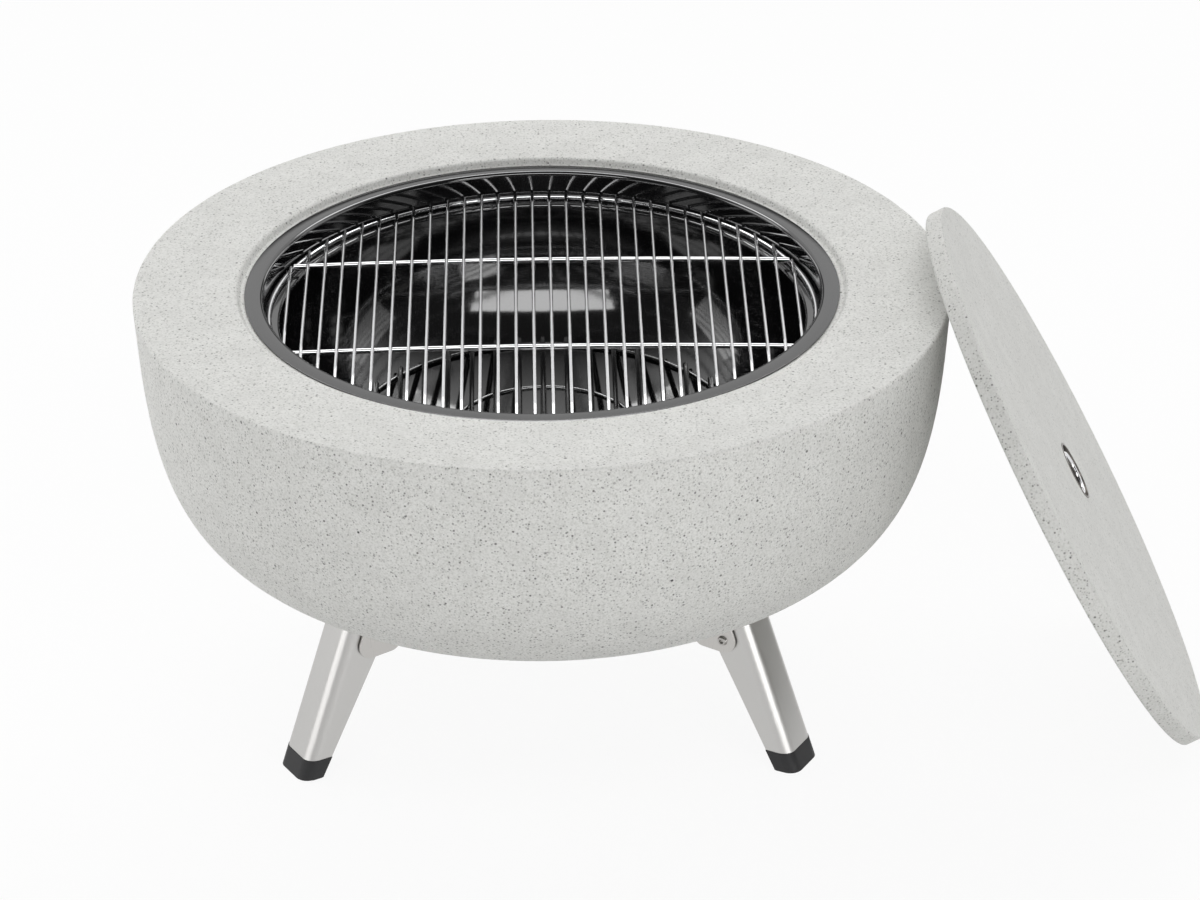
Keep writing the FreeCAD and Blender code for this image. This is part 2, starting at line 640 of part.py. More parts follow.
# The lid and its pull are made lying flat, with the middle of the lid's face at the origin and the
# lower end of the leaning lid on the +X side. This place then leans them on the rim.
LID_PLACE = FreeCAD.Placement(Vector(LID_CENTRE_X, LID_SIDE_STEP, LID_CENTRE_Z),
                              FreeCAD.Rotation(Y_AXIS, LEAN_ANGLE))
CUP_FLOOR = -CUP_DEPTH
CUP_UNDER = CUP_FLOOR - CUP_WALL
POCKET_FLOOR = CUP_UNDER - CUP_GAP
HINGE = point(-HINGE_OFFSET, -RING_DEPTH)


def leaned(shape):
    copy = shape.copy()
    copy.Placement = LID_PLACE
    return copy


def make_lid_slab():
    slab = Part.makeCylinder(LID_RADIUS, LID_THICKNESS, point(0, -LID_THICKNESS))
    rims = [edge for edge in slab.Edges if isinstance(edge.Curve, Part.Circle)]
    slab = slab.makeFillet(LID_EDGE, rims)
    pocket = Part.makeCylinder(CUP_RADIUS + CUP_GAP, -POCKET_FLOOR, point(0, POCKET_FLOOR))
    insert_floor = POCKET_FLOOR - LID_INSERT_LENGTH
    insert_hole = Part.makeCylinder(LID_INSERT_RADIUS, LID_INSERT_LENGTH, point(0, insert_floor))
    return slab.cut([pocket, insert_hole])


def make_pull_cup():
    """A cup with a narrow lip on the lid's face, two hinge lugs and a sunk hole for its screw."""
    cup = revolved(rounded_run([
        (point(0, CUP_FLOOR), 0),
        (point(CUP_INSIDE, CUP_FLOOR), CUP_WALL),
        (point(CUP_INSIDE, CUP_LIP_HEIGHT), CUP_LIP_HEIGHT / 2),
        (point(CUP_RADIUS + CUP_LIP, CUP_LIP_HEIGHT), CUP_LIP_HEIGHT / 2),
        (point(CUP_RADIUS + CUP_LIP, 0), 0),
        (point(CUP_RADIUS, 0), 0),
        (point(CUP_RADIUS, CUP_UNDER), CUP_WALL),
        (point(0, CUP_UNDER), 0),
        (point(0, CUP_FLOOR), 0),
    ]))
    lug_start = BARREL_LENGTH / 2 + LUG_GAP
    foot_low = point(HINGE.x - BARREL_RADIUS, CUP_UNDER + CUP_WALL / 2)
    foot_high = point(HINGE.x + BARREL_RADIUS, HINGE.z)
    lugs = []
    for low in (lug_start, -lug_start - LUG_WIDTH):
        lug = Part.makeBox(2 * BARREL_RADIUS, LUG_WIDTH, foot_high.z - foot_low.z, foot_low + Y_AXIS * low)
        top = cylinder_between(HINGE + Y_AXIS * low, HINGE + Y_AXIS * (low + LUG_WIDTH), BARREL_RADIUS)
        lugs.append(lug.fuse(top).removeSplitter())
    cup = cup.fuse(lugs).removeSplitter()
    half_pin = lug_start + LUG_WIDTH
    pin_hole = cylinder_between(HINGE - Y_AXIS * half_pin, HINGE + Y_AXIS * half_pin, PIN_RADIUS)
    sink = Part.makeCone(CUP_SCREW_RADIUS + THREAD_GAP, CUP_SCREW_HEAD_RADIUS, CUP_WALL, point(0, CUP_UNDER))
    return cup.cut([pin_hole, sink])


def make_pull_pin():
    half = BARREL_LENGTH / 2 + LUG_GAP + LUG_WIDTH
    return cylinder_between(HINGE - Y_AXIS * half, HINGE + Y_AXIS * half, PIN_RADIUS)


def make_pull_ring():
    """A wire ring with a tab and a barrel that turns on the hinge pin."""
    centre = point(RING_SET_BACK, -RING_DEPTH)
    ring = Part.makeTorus(RING_RADIUS, RING_WIRE / 2, centre, Z_AXIS)
    half = BARREL_LENGTH / 2
    barrel = cylinder_between(HINGE - Y_AXIS * half, HINGE + Y_AXIS * half, BARREL_RADIUS)
    ring_end = RING_SET_BACK - RING_RADIUS
    tab = Part.makeBox(ring_end - HINGE.x, BARREL_LENGTH, TAB_THICKNESS,
                       HINGE - Y_AXIS * half - Z_AXIS * (TAB_THICKNESS / 2))
    ring = ring.fuse([tab, barrel]).removeSplitter()
    bore = cylinder_between(HINGE - Y_AXIS * half, HINGE + Y_AXIS * half, PIN_RADIUS + RUNNING_GAP)
    return ring.cut(bore)


def make_cup_screw():
    """A countersunk socket screw, flush with the floor of the cup."""
    head = Part.makeCone(CUP_SCREW_RADIUS, CUP_SCREW_HEAD_RADIUS - THREAD_GAP, CUP_WALL, point(0, CUP_UNDER))
    shank = cylinder_between(point(0, CUP_FLOOR - CUP_SCREW_LENGTH), point(0, CUP_UNDER), CUP_SCREW_RADIUS)
    socket = hexagon_prism(point(0, CUP_FLOOR), Z_AXIS * -1, CUP_SCREW_SOCKET, CUP_WALL)
    return head.fuse(shank).cut(socket)


def make_lid_insert():
    low = point(0, POCKET_FLOOR - LID_INSERT_LENGTH)
    high = point(0, POCKET_FLOOR)
    return cylinder_between(low, high, LID_INSERT_RADIUS).cut(
        cylinder_between(low, high, CUP_SCREW_RADIUS + THREAD_GAP))


# Stone bowl and what is fixed to it.
export("stone_bowl", make_stone_bowl())
azimuths = list(LEG_ANGLES.values())
export("bracket_inserts", *[turned(make_bracket_insert(place), azimuth)
                            for azimuth in azimuths for place in screw_places()])
export("bracket_screws", *[turned(make_bracket_screw(place), azimuth)
                           for azimuth in azimuths for place in screw_places()])
export("pivot_bolts", *[turned(make_pivot_bolt(), azimuth) for azimuth in azimuths])
export("pivot_weld_nuts", *[turned(make_weld_nut(), azimuth) for azimuth in azimuths])
export("pivot_washers", *[turned(washer, azimuth) for azimuth in azimuths for washer in make_pivot_washers()])

# Three folding legs with their brackets and foot caps.
for side, azimuth in LEG_ANGLES.items():
    export("leg_bracket_" + side, turned(make_leg_bracket(), azimuth))
    export("leg_" + side, turned(make_leg(), azimuth))
    export("foot_cap_" + side, turned(make_foot_cap(), azimuth))

# Fire bowl and the two grates in it.
export("fire_bowl", make_fire_bowl())
charcoal_ring, charcoal_inner_ring, charcoal_rods = make_charcoal_grate()
export("charcoal_ring", charcoal_ring)
export("charcoal_inner_ring", charcoal_inner_ring)
export("charcoal_rods", *charcoal_rods)
grate_ring, grate_rods, grate_cross_rods = make_cooking_grate()
export("grate_ring", grate_ring)
export("grate_rods", *grate_rods)
export("grate_cross_rods", *grate_cross_rods)

# Lid and its pull.
export("lid_slab", leaned(make_lid_slab()))
export("pull_cup", leaned(make_pull_cup()))
export("pull_pin", leaned(make_pull_pin()))
export("pull_ring", leaned(make_pull_ring()))
export("cup_screw", leaned(make_cup_screw()))
export("lid_insert", leaned(make_lid_insert()))
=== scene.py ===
import math

import bmesh
import bpy
from mathutils import Matrix, Vector
from mathutils.geometry import interpolate_bezier


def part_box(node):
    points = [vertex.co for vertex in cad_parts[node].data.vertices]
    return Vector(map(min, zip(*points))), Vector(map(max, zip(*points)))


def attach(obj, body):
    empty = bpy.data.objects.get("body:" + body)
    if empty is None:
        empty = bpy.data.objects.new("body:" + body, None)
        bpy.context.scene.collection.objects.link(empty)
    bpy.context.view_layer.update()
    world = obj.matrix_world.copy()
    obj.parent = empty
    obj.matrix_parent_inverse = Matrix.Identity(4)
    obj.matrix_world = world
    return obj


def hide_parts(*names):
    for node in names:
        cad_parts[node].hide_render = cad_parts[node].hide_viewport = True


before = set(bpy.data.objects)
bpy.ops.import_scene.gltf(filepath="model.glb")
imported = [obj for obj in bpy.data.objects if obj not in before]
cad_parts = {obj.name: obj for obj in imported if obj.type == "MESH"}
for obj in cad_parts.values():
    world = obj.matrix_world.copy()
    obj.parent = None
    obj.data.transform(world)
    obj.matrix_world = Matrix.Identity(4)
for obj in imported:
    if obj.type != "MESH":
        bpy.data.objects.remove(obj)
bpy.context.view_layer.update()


# Stone bowl. The outer body is one thick shell of cast terrazzo: pale cement with fine dark grit.
# It comes out of a mould and is ground flat on the rim, where a recess takes the steel fire bowl.
MM = 0.001
UPWARDS = (0, 0, 1)
bowl_low, bowl_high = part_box("stone_bowl")
BOWL_AXIS = Vector(((bowl_low.x + bowl_high.x) / 2, 0, 0))
RIM_TOP = bowl_high.z / MM
BASE = bowl_low.z / MM
RIM_RADIUS = 375.0
RIM_EDGE = 3.0
RIM_SLAB = 30.0
STONE_WALL = 24.0
WALL_DROP = 45.0
WALL_DRAFT = 3.0
BASE_RADIUS = 206.0
BASE_ROUND = 150.0
BELLY_SLOPE = math.radians(25.3)
SHOULDER_PULL = 140.0
BELLY_PULL = 70.0
INNER_CORNER = 12.0
RECESS_RADIUS = 280.5
RECESS_FLOOR_RADIUS = 277.0
RECESS_DEPTH = 6.5
RECESS_FLOOR = RIM_TOP - RECESS_DEPTH
RECESS_EDGE = 2.5
RECESS_COVE = 1.5
HOLE_RADIUS = 261.5
HOLE_EDGE = 2.0
SIDE_POINTS = 28
BASE_POINTS = 9
LATHE_STEPS = 224
ROUNDING_STEPS = 6
SEAM_GAP = 0.01
SHARP_ANGLE = math.radians(38)


def spin_round(shape, centre, steps):
    """Spins an outline right round an upright axis, and closes its seam and its poles."""
    bmesh.ops.spin(shape, geom=shape.verts[:] + shape.edges[:], cent=centre, axis=UPWARDS,
                   angle=math.tau, steps=steps, use_merge=True)
    bmesh.ops.remove_doubles(shape, verts=shape.verts, dist=SEAM_GAP * MM)
    bmesh.ops.recalc_face_normals(shape, faces=shape.faces)


def lathe(outline, centre):
    """Turns an outline of (radius, height, rounding) in millimetres about an upright axis."""
    shape = bmesh.new()
    verts = [shape.verts.new(centre + Vector((radius, 0, height)) * MM) for radius, height, _ in outline]
    for first, second in zip(verts, verts[1:]):
        shape.edges.new((first, second))
    for vert, (_, _, rounding) in zip(verts, outline):
        if rounding:
            bmesh.ops.bevel(shape, geom=[vert], affect="VERTICES", offset=rounding * MM, offset_type="OFFSET",
                            segments=ROUNDING_STEPS, profile=0.5, material=-1)
    spin_round(shape, centre, LATHE_STEPS)
    return shape


def belly(inset):
    """The side of the bowl from its wall to its base, moved into the stone by inset. It ends in a round arc,
    and its handles there have the usual length for a curve that follows an arc."""
    shoulder = Vector((RIM_RADIUS - WALL_DRAFT - inset, RIM_TOP - WALL_DROP))
    down = Vector((-WALL_DRAFT, -WALL_DROP)).normalized()
    turn = BASE_ROUND - inset
    end = Vector((BASE_RADIUS + turn * math.sin(BELLY_SLOPE),
                  BASE + BASE_ROUND - turn * math.cos(BELLY_SLOPE)))
    out = Vector((math.cos(BELLY_SLOPE), math.sin(BELLY_SLOPE)))
    ease = 1 - inset / RIM_RADIUS
    side = interpolate_bezier(shoulder, shoulder + down * SHOULDER_PULL * ease,
                              end + out * BELLY_PULL * ease, end, SIDE_POINTS)
    base = Vector((BASE_RADIUS, BASE + inset))
    handle = 4 / 3 * math.tan(BELLY_SLOPE / 4) * turn
    bottom = interpolate_bezier(end, end - out * handle, base + Vector((handle, 0)), base, BASE_POINTS)
    return [(place.x, place.y, 0) for place in side + bottom[1:]]


outer = belly(0)
inner = belly(STONE_WALL)
rim = [
    (RIM_RADIUS, RIM_TOP, RIM_EDGE),
    (RECESS_RADIUS, RIM_TOP, RECESS_EDGE),
    (RECESS_FLOOR_RADIUS, RECESS_FLOOR, RECESS_COVE),
    (HOLE_RADIUS, RECESS_FLOOR, HOLE_EDGE),
    (HOLE_RADIUS, RIM_TOP - RIM_SLAB, HOLE_EDGE),
    (inner[0][0], RIM_TOP - RIM_SLAB, INNER_CORNER),
]
stone_shape = lathe([(0, BASE, 0)] + outer[::-1] + rim + inner + [(0, BASE + STONE_WALL, 0)], BOWL_AXIS)


def linear(hex_colour):
    """The linear colour of an sRGB hex value."""
    parts = [int(hex_colour[start:start + 2], 16) / 255 for start in (1, 3, 5)]
    return [part / 12.92 if part <= 0.04045 else ((part + 0.055) / 1.055) ** 2.4 for part in parts] + [1.0]


def add_node(tree, kind, inputs=None, **settings):
    """Adds a node. Each input is a socket to link from or a value to set."""
    node = tree.nodes.new(kind)
    for name, value in settings.items():
        setattr(node, name, value)
    for name, value in (inputs or {}).items():
        if isinstance(value, bpy.types.NodeSocket):
            tree.links.new(value, node.inputs[name])
        else:
            node.inputs[name].default_value = value
    return node


def new_material(name):
    """An empty material with its shader: (material, node tree, shader)."""
    material = bpy.data.materials.new(name)
    material.use_nodes = True
    return material, material.node_tree, material.node_tree.nodes["Principled BSDF"]


# Terrazzo: matt cement paste with grey sand and crushed dark stone. The sand mottles the paste, and grains
# show as specks where the surface cuts them. A ground face looks calmer, because the paste smears over them.
# Sand and grains are drawn about twice as coarse as the real ones, so that they show in the render.
PASTE = "#DADAD7"
PASTE_CLOUD = "#D3D3D0"
SAND = "#C2C2BE"
CLOUD_MM = 30.0
CLOUD_FROM = 0.4
CLOUD_FULL = 0.7
SAND_MM = 2.0
SAND_FROM = 0.42
SAND_FULL = 0.72
GRITS = (
    {"cell_mm": 2.7, "grain_mm": 1.6, "share": 1.0, "colour": "#8E8E8B"},
    {"cell_mm": 4.6, "grain_mm": 2.1, "share": 0.6, "colour": "#626260"},
    {"cell_mm": 15.0, "grain_mm": 2.7, "share": 0.6, "colour": "#262625"},
)
GRAIN_RIM = 1.3
GRAIN_CORE = 0.6
GROUND_FROM = 0.9
GROUND_FULL = 0.995
BOWL_GROUND_FADE = 0.2
PITTING_MM = 1.4
PITTING_DEPTH_MM = 0.25
PITTING_STRENGTH = 0.35
STONE_ROUGHNESS = 0.78
STONE_IOR = 1.5
FIRST_COLOUR = 6
SECOND_COLOUR = 7
MIXED_COLOUR = 2


def terrazzo(name, paste_colour, ground_side, ground_fade):
    """Speckled cast stone. ground_side is the way that its ground face looks, and ground_fade is how much
    the grains are smeared over there."""
    material, tree, shader = new_material(name)
    place = add_node(tree, "ShaderNodeTexCoord")
    facing = add_node(tree, "ShaderNodeVectorMath", {0: place.outputs["Normal"], 1: ground_side},
                      operation="DOT_PRODUCT")
    ground = add_node(tree, "ShaderNodeMapRange", {"Value": facing.outputs["Value"], "From Min": GROUND_FROM,
                                                   "From Max": GROUND_FULL}, interpolation_type="SMOOTHSTEP")
    shown = add_node(tree, "ShaderNodeMapRange", {"Value": ground.outputs[0], "To Min": 1.0,
                                                  "To Max": 1 - ground_fade})
    cloud = add_node(tree, "ShaderNodeTexNoise", {"Vector": place.outputs["Object"],
                                                  "Scale": 1 / (CLOUD_MM * MM), "Detail": 3.0})
    cloudy = add_node(tree, "ShaderNodeMapRange", {"Value": cloud.outputs[0], "From Min": CLOUD_FROM,
                                                   "From Max": CLOUD_FULL})
    paste = add_node(tree, "ShaderNodeMix", {0: cloudy.outputs[0], FIRST_COLOUR: linear(paste_colour),
                                             SECOND_COLOUR: linear(PASTE_CLOUD)}, data_type="RGBA")
    sand = add_node(tree, "ShaderNodeTexNoise", {"Vector": place.outputs["Object"],
                                                 "Scale": 1 / (SAND_MM * MM), "Detail": 2.0})
    sandy = add_node(tree, "ShaderNodeMapRange", {"Value": sand.outputs[0], "From Min": SAND_FROM,
                                                  "From Max": SAND_FULL})
    sand_shown = add_node(tree, "ShaderNodeMath", {0: sandy.outputs[0], 1: shown.outputs[0]},
                          operation="MULTIPLY")
    colour = add_node(tree, "ShaderNodeMix", {0: sand_shown.outputs[0],
                                              FIRST_COLOUR: paste.outputs[MIXED_COLOUR],
                                              SECOND_COLOUR: linear(SAND)}, data_type="RGBA")
    for grit in GRITS:
        cells = add_node(tree, "ShaderNodeTexVoronoi", {"Vector": place.outputs["Object"],
                                                        "Scale": 1 / (grit["cell_mm"] * MM)})
        radius = grit["grain_mm"] / grit["cell_mm"] / 2
        grain = add_node(tree, "ShaderNodeMapRange", {"Value": cells.outputs["Distance"],
                                                      "From Min": radius * GRAIN_RIM,
                                                      "From Max": radius * GRAIN_CORE},
                         interpolation_type="SMOOTHSTEP")
        chance = add_node(tree, "ShaderNodeSeparateColor", {0: cells.outputs["Color"]})
        chosen = add_node(tree, "ShaderNodeMapRange", {"Value": chance.outputs[0],
                                                       "From Min": 1 - grit["share"], "From Max": 1.0})
        seen = add_node(tree, "ShaderNodeMath", {0: grain.outputs[0], 1: chosen.outputs[0]},
                        operation="MULTIPLY")
        faded = add_node(tree, "ShaderNodeMath", {0: seen.outputs[0], 1: shown.outputs[0]},
                         operation="MULTIPLY")
        colour = add_node(tree, "ShaderNodeMix", {0: faded.outputs[0],
                                                  FIRST_COLOUR: colour.outputs[MIXED_COLOUR],
                                                  SECOND_COLOUR: linear(grit["colour"])}, data_type="RGBA")
    pits = add_node(tree, "ShaderNodeTexNoise", {"Vector": place.outputs["Object"],
                                                 "Scale": 1 / (PITTING_MM * MM), "Detail": 2.0})
    bump = add_node(tree, "ShaderNodeBump", {"Height": pits.outputs[0], "Strength": PITTING_STRENGTH,
                                             "Distance": PITTING_DEPTH_MM * MM})
    tree.links.new(colour.outputs[MIXED_COLOUR], shader.inputs["Base Color"])
    tree.links.new(bump.outputs[0], shader.inputs["Normal"])
    shader.inputs["Roughness"].default_value = STONE_ROUGHNESS
    shader.inputs["IOR"].default_value = STONE_IOR
    return material


def make_piece(shape, name, material, slot, body, *nodes):
    """Makes an object of a finished shape, lets it ride on a body and stand for CAD nodes."""
    mesh = bpy.data.meshes.new(name)
    shape.to_mesh(mesh)
    shape.free()
    mesh.shade_smooth()
    mesh.set_sharp_from_angle(angle=SHARP_ANGLE)
    mesh.materials.append(material)
    piece = bpy.data.objects.new(name, mesh)
    bpy.context.collection.objects.link(piece)
    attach(piece, body)
    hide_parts(*nodes)
    return piece


bowl_stone = terrazzo("cast_terrazzo_bowl", PASTE, UPWARDS, BOWL_GROUND_FADE)
make_piece(stone_shape, "bowl_shell", bowl_stone, "stone", "bowl", "stone_bowl")


# Leg brackets. Each is a folded stainless plate under the base with two ears round the pivot bolt, held
# by two socket screws in brass inserts that are cast into the stone.
BRUSH_MM = 0.35
BRUSH_LENGTH_MM = 40.0
BRUSH_DEPTH_MM = 0.05
BRUSH_STRENGTH = 0.03
BRUSH_SPREAD = 0.03
NOISE_LOW = 0.3
NOISE_HIGH = 0.7


def satin_steel(name, colour, roughness, along):
    """Brushed stainless steel: fine lines along one way soften its reflections. They are drawn coarser than
    real ones, so that they show."""
    material, tree, shader = new_material(name)
    place = add_node(tree, "ShaderNodeTexCoord")
    line_size = (BRUSH_MM * MM, BRUSH_MM * MM, BRUSH_LENGTH_MM * MM)
    turn = add_node(tree, "ShaderNodeMapping", {"Vector": place.outputs["Object"],
                                                "Rotation": along.to_track_quat("Z", "Y").to_euler(),
                                                "Scale": line_size}, vector_type="TEXTURE")
    lines = add_node(tree, "ShaderNodeTexNoise", {"Vector": turn.outputs[0], "Scale": 1.0, "Detail": 3.0})
    shade = add_node(tree, "ShaderNodeMapRange", {"Value": lines.outputs[0], "From Min": NOISE_LOW,
                                                  "From Max": NOISE_HIGH, "To Min": roughness - BRUSH_SPREAD,
                                                  "To Max": roughness + BRUSH_SPREAD})
    bump = add_node(tree, "ShaderNodeBump", {"Height": lines.outputs[0], "Strength": BRUSH_STRENGTH,
                                             "Distance": BRUSH_DEPTH_MM * MM})
    tree.links.new(shade.outputs[0], shader.inputs["Roughness"])
    tree.links.new(bump.outputs[0], shader.inputs["Normal"])
    shader.inputs["Base Color"].default_value = linear(colour)
    shader.inputs["Metallic"].default_value = 1.0
    return material


CAD_SEAM_GAP = 0.002
FLAT_ANGLE = math.radians(0.5)


def cad_copy(node):
    """A shape copied from a CAD node, with its loose triangles merged into whole faces."""
    shape = bmesh.new()
    shape.from_mesh(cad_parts[node].data)
    bmesh.ops.remove_doubles(shape, verts=shape.verts, dist=CAD_SEAM_GAP * MM)
    bmesh.ops.dissolve_limit(shape, angle_limit=FLAT_ANGLE, verts=shape.verts, edges=shape.edges)
    return shape


EDGE_ANGLE = math.radians(40)
EDGE_STEPS = 2


def soften_edges(piece, width_mm):
    """Rounds the sharp edges of a piece a little, as a punched or moulded edge is."""
    bevel = piece.modifiers.new("soft_edges", "BEVEL")
    bevel.width = width_mm * MM
    bevel.segments = EDGE_STEPS
    bevel.limit_method = "ANGLE"
    bevel.angle_limit = EDGE_ANGLE
    bevel.harden_normals = True


SIDES = ("left", "right", "rear")
PUNCHED_EDGE = 0.4
bracket_steel = satin_steel("brushed_stainless_bracket", colour="#BDBBB8", roughness=0.3,
                            along=Vector(UPWARDS))
for side in SIDES:
    node = "leg_bracket_" + side
    bracket = make_piece(cad_copy(node), "bracket_" + side, bracket_steel, "satin_steel", "bowl", node)
    soften_edges(bracket, PUNCHED_EDGE)


def plain_metal(name, colour, roughness):
    """Bare machined metal, a little dulled by handling."""
    material, _, shader = new_material(name)
    shader.inputs["Base Color"].default_value = linear(colour)
    shader.inputs["Metallic"].default_value = 1.0
    shader.inputs["Roughness"].default_value = roughness
    return material


def finish_node(node, material):
    """Gives a CAD node that stays as it is its own finish."""
    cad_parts[node].material_slots[0].material = material


turned_brass = plain_metal("turned_brass_insert", colour="#B5904E", roughness=0.35)
screw_steel = plain_metal("stainless_screw", colour="#A9A7A4", roughness=0.32)
finish_node("bracket_screws", screw_steel)
finish_node("bracket_inserts", turned_brass)


# Legs. Each is a tapered channel of folded stainless sheet, brushed along its length, on a socket-head
# bolt between the ears. It folds inwards under the bowl and stops against the bracket plate.
LEG_AZIMUTHS = {"left": math.radians(210), "right": math.radians(330), "rear": math.radians(90)}
LEG_SPLAY = math.radians(20.1)
LEG_WIDTH = 48.5
LEG_SHEET = 2.0
LEG_CORNER = 8.5
WIDE_CORNER = 12.0
BEND_SLACK = 0.1
BOLT_EDGE = 0.2


def open_bends(shape, azimuth, proud, sheet):
    """Opens the two long bends of a leg, or of a shoe that stands proud of it, from their radius in the CAD
    model to the softer one of folded sheet. Each skin of the sheet is scaled about its own corner."""
    way = Vector((math.cos(azimuth), math.sin(azimuth), 0))
    across = Vector((-way.y, way.x, 0))
    outward = way * math.cos(LEG_SPLAY) + Vector((0, 0, math.sin(LEG_SPLAY)))
    face = max(vert.co.dot(outward) for vert in shape.verts)
    corner = (LEG_CORNER + proud) * MM
    for vert in shape.verts:
        side = (vert.co - BOWL_AXIS).dot(across)
        depth = face - vert.co.dot(outward)
        inset = (LEG_WIDTH / 2 + proud) * MM - abs(side)
        if max(depth, inset) > corner + BEND_SLACK * MM:
            continue
        outer_skin = math.hypot(corner - depth, corner - inset) > corner - sheet / 2 * MM
        skin = 0 if outer_skin else sheet * MM
        growth = (WIDE_CORNER - LEG_CORNER) * MM / (corner - skin)
        vert.co -= way * (depth - skin) * growth / math.cos(LEG_SPLAY)
        vert.co -= across * math.copysign((inset - skin) * growth, side)


for side in SIDES:
    node = "leg_" + side
    azimuth = LEG_AZIMUTHS[side]
    leg_way = Vector((-math.cos(azimuth) * math.sin(LEG_SPLAY), -math.sin(azimuth) * math.sin(LEG_SPLAY),
                      math.cos(LEG_SPLAY)))
    leg_steel = satin_steel("brushed_stainless_leg_" + side, colour="#BFBEBC", roughness=0.34, along=leg_way)
    leg_shape = cad_copy(node)
    open_bends(leg_shape, azimuth, 0, LEG_SHEET)
    leg = make_piece(leg_shape, "folding_leg_" + side, leg_steel, "satin_steel", node, node)
    soften_edges(leg, PUNCHED_EDGE)
bolts = make_piece(cad_copy("pivot_bolts"), "leg_bolts", screw_steel, "fastener_steel", "bowl", "pivot_bolts")
soften_edges(bolts, BOLT_EDGE)
finish_node("pivot_weld_nuts", screw_steel)


# Foot caps. Black moulded plastic shoes pushed onto the ends of the legs, with a fine spark-eroded
# grain from the mould.
CAP_PROUD = 0.4
CAP_EDGE = 0.8
MOULD_GRAIN_MM = 0.9
MOULD_GRAIN_DEPTH_MM = 0.1
MOULD_GRAIN_STRENGTH = 0.25


def moulded_plastic(name, colour, roughness):
    """Matt moulded plastic. The fine grain of its mould scatters the light, and is drawn coarser than the
    real one, so that it shows."""
    material, tree, shader = new_material(name)
    place = add_node(tree, "ShaderNodeTexCoord")
    grain = add_node(tree, "ShaderNodeTexNoise", {"Vector": place.outputs["Object"],
                                                  "Scale": 1 / (MOULD_GRAIN_MM * MM), "Detail": 2.0})
    bump = add_node(tree, "ShaderNodeBump", {"Height": grain.outputs[0], "Strength": MOULD_GRAIN_STRENGTH,
                                             "Distance": MOULD_GRAIN_DEPTH_MM * MM})
    tree.links.new(bump.outputs[0], shader.inputs["Normal"])
    shader.inputs["Base Color"].default_value = linear(colour)
    shader.inputs["Roughness"].default_value = roughness
    return material


cap_plastic = moulded_plastic("black_polypropylene", colour="#18181A", roughness=0.55)
for side in SIDES:
    node = "foot_cap_" + side
    cap_shape = cad_copy(node)
    open_bends(cap_shape, LEG_AZIMUTHS[side], CAP_PROUD, 0)
    cap = make_piece(cap_shape, "foot_shoe_" + side, cap_plastic, "black_plastic", "leg_" + side, node)
    soften_edges(cap, CAP_EDGE)
finish_node("pivot_washers", moulded_plastic("natural_nylon_washer", colour="#CFCDC4", roughness=0.45))


# Fire bowl. A dish spun from steel sheet and fired with black enamel. Its flange hangs in the recess of
# the rim and falls a little towards its edge, and a step in its wall carries the cooking grate.
FLANGE_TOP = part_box("fire_bowl")[1].z / MM
FLANGE_RADIUS = 273.0
FLANGE_FALL = 0.7
MOUTH_RADIUS = 256.0
STEP_DROP = 26.5
STEP_TOP = FLANGE_TOP - STEP_DROP
DISH_RADIUS = 241.0
STEP_WALL = 5.0
DISH_START = STEP_TOP - STEP_WALL
DISH_SIDE_ROUND = 145.0
DISH_DEPTH = 172.0
SHEET = 1.5
SHEET_EDGE = SHEET / 3
BEND = 4.0
ARC_POINTS = 40


def dish_arcs(offset):
    """Points of the dish from its vertical start to the middle: a side arc that runs into a flat crown."""
    run_in = DISH_RADIUS - DISH_SIDE_ROUND
    crown = (run_in ** 2 + DISH_DEPTH ** 2 - DISH_SIDE_ROUND ** 2) / (2 * (DISH_DEPTH - DISH_SIDE_ROUND))
    crown_height = DISH_START - DISH_DEPTH + crown
    meet = math.atan2(DISH_START - crown_height, run_in)
    points = []
    for step in range(ARC_POINTS + 1):
        angle = meet * step / ARC_POINTS
        radius = DISH_SIDE_ROUND + offset
        points.append((run_in + radius * math.cos(angle), DISH_START + radius * math.sin(angle), 0))
    for step in range(1, ARC_POINTS + 1):
        angle = meet + (-math.pi / 2 - meet) * step / ARC_POINTS
        radius = crown + offset
        points.append((radius * math.cos(angle), crown_height + radius * math.sin(angle), 0))
    points[-1] = (0, points[-1][1], 0)
    return points


inside = [
    (FLANGE_RADIUS, FLANGE_TOP, SHEET_EDGE),
    (MOUTH_RADIUS, FLANGE_TOP + FLANGE_FALL, BEND),
    (MOUTH_RADIUS, STEP_TOP, BEND - SHEET),
    (DISH_RADIUS, STEP_TOP, BEND),
] + dish_arcs(0)
outside = [
    (FLANGE_RADIUS, FLANGE_TOP - SHEET, SHEET_EDGE),
    (MOUTH_RADIUS + SHEET, FLANGE_TOP + FLANGE_FALL - SHEET, BEND - SHEET),
    (MOUTH_RADIUS + SHEET, STEP_TOP - SHEET, BEND),
    (DISH_RADIUS + SHEET, STEP_TOP - SHEET, BEND - SHEET),
] + dish_arcs(SHEET)
fire_shape = lathe(inside[::-1] + outside, BOWL_AXIS)
PEEL_MM = 7.0
PEEL_DEPTH_MM = 0.3
PEEL_STRENGTH = 0.06
ENAMEL_IOR = 1.95


